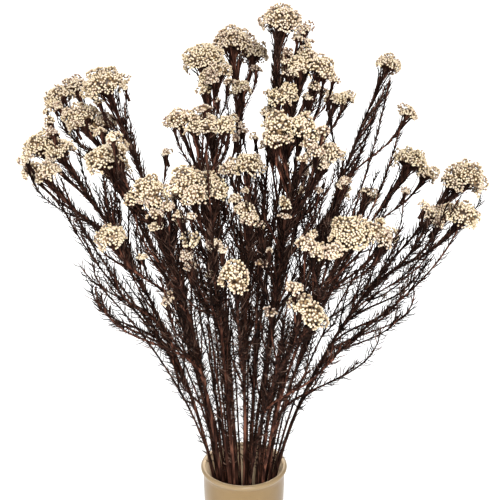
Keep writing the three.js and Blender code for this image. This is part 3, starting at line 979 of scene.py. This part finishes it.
def cap_ways(count, lowest, start):
    """Directions spread evenly over a cap round +Z, down to a lowest rise."""
    order = np.arange(count) + 0.5
    rise = 1 - order / count * (1 - lowest)
    ring = np.sqrt(1 - rise**2)
    angle = order * GOLDEN_TURN + start
    return np.stack([ring * np.cos(angle), ring * np.sin(angle), rise], axis=-1)


def turned_to(ways, axis):
    """Turns directions so that +Z goes to an axis."""
    across = unit(np.cross(np.array([0.0, 1.0, 0.0]), axis))
    over = np.cross(axis, across)
    return ways[:, :1] * across + ways[:, 1:2] * over + ways[:, 2:] * axis


def roughness(points, span):
    """A smooth random number for each point, mostly from -1 to 1, that changes over a span."""
    turns = unit(rng.normal(0, 1, (6, 3))) * math.tau / span
    return np.sin(points @ turns.T + rng.uniform(0, math.tau, 6)).sum(axis=1) / 2.4


def is_in_dome(points, dome, margin):
    """Whether each point is in a dome that is wider by a margin."""
    offsets = points - np.array(dome[:3], float)
    axis = dome_axis(dome)
    rise = offsets @ axis
    ring = np.linalg.norm(offsets - rise[:, None] * axis, axis=1)
    high = dome[3] * np.where(rise > 0, DOME_TOP, DOME_BOTTOM) + margin
    return np.hypot(ring / (dome[3] + margin), rise / high) < 1


def buds_on(dome, others):
    """The roots and directions of the buds of a dome: a rough layer with an uneven rim and bare spots, free
    of the head's other domes."""
    size = dome[3] - 0.5 * BUD_LENGTH
    axis = dome_axis(dome)
    count = round(math.tau * size**2 * (1 - LOWEST_BUD) / (BUD_PITCH**2 * HEX_PACKING))
    local = cap_ways(count, LOWEST_BUD, dome[0])
    local = unit(local + rng.normal(0, BUD_SCATTER * BUD_PITCH / size, local.shape))
    spots = local * size
    lift = DOME_LIFT * (roughness(spots, DOME_LIFT_SPAN) - 0.7) + rng.normal(0, 0.3, count)
    lift += CLUSTER_LIFT * (roughness(spots, CLUSTER_SPAN) - 0.4)
    reach = (size - 0.5 * BUD_LENGTH + np.maximum(lift, -LIFT_DEPTH))[:, None]
    flatness = np.where(local[:, 2] > 0, DOME_TOP, DOME_UNDERSIDE)
    shape = np.stack([np.ones(count), np.ones(count), flatness], axis=-1)
    roots = np.array(dome[:3]) + turned_to(local * shape * reach, axis)
    kept = local[:, 2] > RIM_RISE + 0.24 * roughness(spots, 15) + 0.12 * roughness(spots, 6)
    kept &= rng.uniform(0, 1, count) > BARE_SHARE
    kept &= roughness(spots, BARE_SPOT_SPAN) > BARE_SPOT_LEAST
    for other in others:
        kept &= ~is_in_dome(roots, other, -BUD_LENGTH)
    facing = unit(local + (0, 0, 0.2) + rng.normal(0, 0.22, local.shape))
    return roots[kept], turned_to(facing[kept], axis)


def add_buds(heap, head, age=0.0):
    """Adds the buds of a head over beds of packed ones. Age browns them."""
    roots, ways, tones = [], [], []
    for dome in head:
        dome_roots, dome_ways = buds_on(dome, [other for other in head if other is not dome])
        roots.append(dome_roots)
        ways.append(dome_ways)
        tones.append(rng.uniform(0, 0.75, len(dome_roots)) ** 1.2 + rng.uniform(0, 0.35) + age)
        add_bud_bed(heap, dome)
    roots = np.concatenate(roots)
    lengths = BUD_LENGTH * rng.uniform(0.85, 1.12, len(roots))[:, None, None]
    lines = roots[:, None] + np.concatenate(ways)[:, None] * lengths * np.array(BUD_STEPS)[None, :, None]
    radii = BUD_RADIUS * rng.uniform(0.84, 1.08, len(roots))[:, None] * np.array(BUD_WIDTHS)
    heap.add_tubes(lines, radii, 6, np.concatenate(tones))


def ribbed(profile):
    """Uneven shares of the radius round a turned form, mostly the same from ring to ring."""
    return 1 + rng.uniform(-0.09, 0.05, CORE_SIDES) + rng.uniform(-0.05, 0.04, (len(profile), CORE_SIDES))


def put_on_dome(points, dome):
    """Moves points round the origin to the centre of a dome, with +Z along its axis."""
    return np.array(dome[:3]) + turned_to(points, dome_axis(dome))


def add_bud_bed(heap, dome):
    """Adds the mass of packed buds that fills a dome under its outer ones. It is coloured dark as painted
    shade inside the head.
    """
    wide = max(0.45 * dome[3], dome[3] - 1.95 * BUD_LENGTH)
    profile = [(0.6 * wide, -0.04 * wide), (0.92 * wide, 0.04 * wide)]
    profile += [(wide * math.cos(a), wide * DOME_TOP * math.sin(a)) for a in (0.25, 0.65, 1.0, 1.3)]
    profile = np.array(profile)
    # A rise of 0 all over gives the whole bed the bud material's painted shade.
    levels = np.zeros(len(profile) + 2)
    heap.add_turned(profile, ribbed(profile), levels, 0.5, lambda points: put_on_dome(points, dome))


def add_core(heap, dome):
    """Adds the ribbed mass of matted stalks under a dome, which narrows to its seat."""
    radius = dome[3]
    wide = 0.7 * (radius - BUD_LENGTH)
    profile = np.array(
        [
            (1.3, -DOME_BOTTOM * radius - 8),
            (0.24 * wide, -0.35 * radius),
            (0.45 * wide, -0.15 * radius),
            (wide, 0.1),
        ]
    )
    levels = np.linspace(0, 1, len(profile) + 2)
    tone = rng.uniform(0.2, 0.6)
    heap.add_turned(profile, ribbed(profile), levels, tone, lambda points: put_on_dome(points, dome))


def add_stalks(wood, needles, rod):
    """Adds the leafy stalks that leave a rod below its dome, run up beside it and fan out under the buds."""
    dome = rod["dome"]
    axis = dome_axis(dome)
    count = round(STALKS_PER_RADIUS * dome[3])
    local = cap_ways(count, 0.02, dome[1])
    below = dome[3] * np.where(
        rng.uniform(0, 1, count) < LONG_STALKS,
        rng.uniform(*BUNDLE_LENGTH, count),
        rng.uniform(0.2, 1.2, count),
    )
    along = np.clip(1 - below / line_length(rod["line"]), 0.25, 1)
    starts, ways = places_on_line(rod["line"], along)
    ends = np.array(dome[:3]) + turned_to(local * np.array([0.8, 0.8, 0.6]), axis) * (dome[3] - BUD_LENGTH)
    outward = turned_to(local * np.array([1.0, 1.0, 0.0]), axis) * BUNDLE_SHARE * dome[3]
    reach = np.linalg.norm(ends - starts, axis=1)[:, None]
    first = starts + ways * reach * 0.4 + outward + rng.normal(0, 0.6, (count, 3))
    second = seat_of(dome) + 1.3 * outward
    t = np.linspace(0, 1, 6)[None, :, None]
    lines = (
        starts[:, None] * (1 - t) ** 3
        + first[:, None] * 3 * t * (1 - t) ** 2
        + second[:, None] * 3 * t**2 * (1 - t)
        + ends[:, None] * t**3
    )
    radii = np.linspace(STALK_RADII[0], STALK_RADII[1], 4)[None] * rng.uniform(0.8, 1.25, (count, 1))
    wood.add_tubes(lines, radii, 3, rng.uniform(0.1, 1, count))
    for line in lines[below > BUNDLE_LENGTH[0] * dome[3]]:
        add_needles(needles, line, STALK_RADII, STALK_NEEDLES, 0.8)


def make_stem(number, stem, rods, materials):
    """Makes the pieces of one stem: its heads of buds, its wood and its needles."""
    darkness = np.interp(stem["mouth"][0], MOUTH_PLACES, DARKNESSES)
    wood = Heap(darkness)
    needles = Heap(darkness)
    side_stem = side_stem_of(stem, rods[0]["curve"])
    leafy = rods + [side_stem] if side_stem else rods
    for rod in leafy:
        add_rod(wood, rod, STEM_WOBBLE if rod is rods[0] else 0.5 * STEM_WOBBLE)
        bare = 2.5 * rod["dome"][3] / curve_length(rod["curve"]) if rod["dome"] else 0.015
        add_needles(needles, rod["line"], rod["radii"], 1.0 if rod["dome"] else TWIG_NEEDLES, 1 - bare)
    for twig in twigs_of(leafy):
        add_rod(wood, twig, 0.4 * STEM_WOBBLE)
        add_needles(needles, twig["line"], twig["radii"], TWIG_NEEDLES)
    for rod in rods:
        if rod["dome"]:
            add_core(wood, rod["dome"])
            add_stalks(wood, needles, rod)
    for letter, head in zip("abc", stem["heads"]):
        buds = Heap()
        add_buds(buds, head)
        piece_from(f"buds_{number}{letter}", buds, materials["bud"], f"head_{number}{letter}")
    piece_from(f"wood_{number}", wood, materials["wood"], f"stem_{number}")
    piece_from(f"needles_{number}", needles, materials["needle"], f"stem_{number}")


# Studio


def make_paper():
    """A pale floor that curves up into a backdrop."""
    profile = [(PAPER_FRONT_Y, 0.0), (PAPER_BEND_Y, 0.0)]
    for turn in np.linspace(0.1, math.pi / 2, 12):
        across = PAPER_BEND_RADIUS * math.sin(turn)
        profile.append((PAPER_BEND_Y + across, PAPER_BEND_RADIUS - PAPER_BEND_RADIUS * math.cos(turn)))
    profile.append((PAPER_BEND_Y + PAPER_BEND_RADIUS, PAPER_TOP_Z))
    points = [(side, y, z) for y, z in profile for side in (-PAPER_HALF_WIDTH, PAPER_HALF_WIDTH)]
    faces = [(2 * k, 2 * k + 1, 2 * k + 3, 2 * k + 2) for k in range(len(profile) - 1)]
    mesh = bpy.data.meshes.new("studio_floor")
    mesh.from_pydata(points, [], faces)
    mesh.polygons.foreach_set("use_smooth", np.ones(len(faces), bool))
    mesh.materials.append(paper_material())
    floor = bpy.data.objects.new("studio_floor", mesh)
    bpy.context.scene.collection.objects.link(floor)


def add_light(name, place, target, size, power):
    """Adds a round light that looks at its target."""
    data = bpy.data.lights.new(name, "AREA")
    data.shape = "DISK"
    data.size = size
    data.energy = power
    light = bpy.data.objects.new(name, data)
    light.location = place
    way = np.array(target, float) - np.array(place, float)
    tilt = math.atan2(math.hypot(way[0], way[1]), -way[2])
    light.rotation_euler = (tilt, 0, math.atan2(way[1], way[0]) - math.pi / 2)
    bpy.context.scene.collection.objects.link(light)


def make_lights():
    world = bpy.data.worlds.new("studio_world")
    world.use_nodes = True
    background = world.node_tree.nodes["Background"]
    background.inputs["Color"].default_value = (*WHITE, 1)
    background.inputs["Strength"].default_value = WORLD_STRENGTH
    bpy.context.scene.world = world
    for light in LIGHTS:
        add_light(*light)
    bpy.context.scene.view_settings.view_transform = "Standard"


def make_camera():
    data = bpy.data.cameras.new("main_camera")
    data.lens = CAMERA_LENS
    camera = bpy.data.objects.new("main_camera", data)
    camera.location = CAMERA_PLACE
    camera.rotation_euler = (CAMERA_TILT, 0, 0)
    bpy.context.scene.collection.objects.link(camera)
    bpy.context.scene.camera = camera


# The whole bunch in its vase


def make_bunch():
    """Makes every stem with all that grows from it, and the small tufts of buds as one piece."""
    materials = {"bud": bud_material(), "wood": wood_material(), "needle": needle_material()}
    all_rods = [rods_of(stem) for stem in STEMS]
    trunks = [rods[0]["curve"] for rods in all_rods]
    for tuft in TUFTS:
        curves = [branch_curve(trunk, seat_of(tuft), UP) for trunk in trunks]
        add_to_nearest(all_rods, curves, TWIG_RADII, tuft)
    for shoot in np.array(LEAFY_SHOOTS, float):
        add_to_nearest(all_rods, [branch_curve(trunk, shoot, UP) for trunk in trunks], SHOOT_RADII)
    for shoot in np.array(LONG_SHOOTS, float):
        add_to_nearest(all_rods, [long_curve(trunk, shoot) for trunk in trunks], BRANCH_RADII)
    for place in np.array(LEAFY_STEMS, float):
        add_leafy_stem(all_rods, place[:2], place[2:])
    for index, (stem, rods) in enumerate(zip(STEMS, all_rods)):
        make_stem(f"{index + 1:02d}", stem, rods, materials)
    tuft_buds = Heap()
    for tuft in TUFTS:
        add_buds(tuft_buds, [tuft], rng.uniform(*TUFT_AGE))
    piece_from("bud_tufts", tuft_buds, materials["bud"])


make_camera()
make_paper()
make_lights()
make_vase(glaze_material())
make_bunch()
